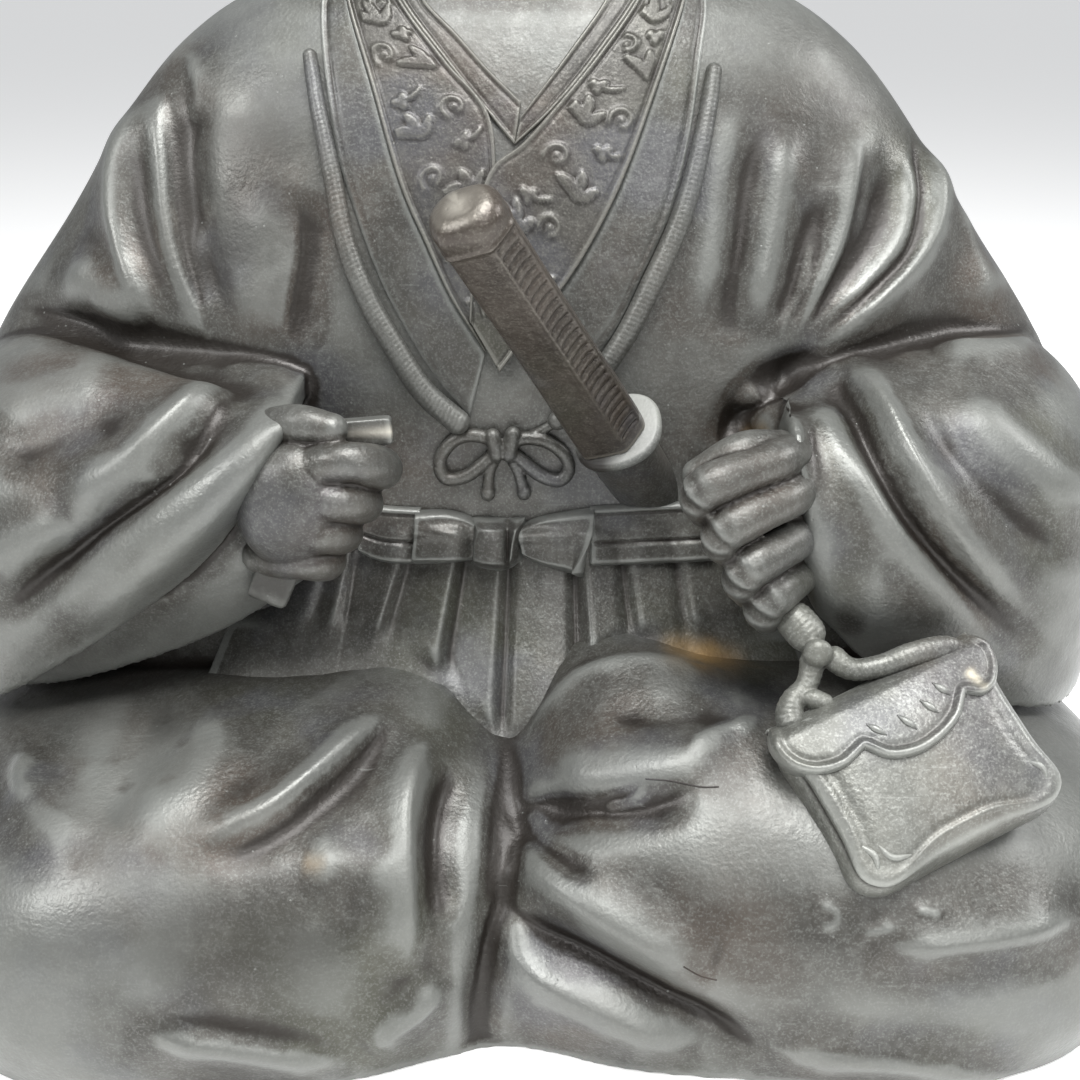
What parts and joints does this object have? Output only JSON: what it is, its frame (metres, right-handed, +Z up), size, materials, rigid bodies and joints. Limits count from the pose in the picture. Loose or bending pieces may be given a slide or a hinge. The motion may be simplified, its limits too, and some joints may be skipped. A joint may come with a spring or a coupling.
{
  "type": "seated samurai statue",
  "caption": "Cast bronze figure of a seated samurai in robe and pleated hakama, with short sword, folded fan and a pouch on a strap.",
  "frame": {"origin": "middle of the footprint, on the flat underside that the figure rests on", "axes": "+Z up; the figure faces -Y and its left hand is on the +X side"},
  "size_m": [0.3639, 0.258, 0.3684],
  "materials": {
    "bronze": "satin, dark brown-grey patina",
    "dark_bronze": "satin, dark brown patina",
    "pale_alloy": "dull pale grey"
  },
  "bodies": {
    "root": {"robed_body": "bronze", "head": "bronze", "right_hand_with_fan": "bronze", "left_hand": "bronze", "pouch_and_strap": "bronze", "sword_hilt": "dark_bronze", "sword_guard": "pale_alloy"}
  },
  "joints": []
}
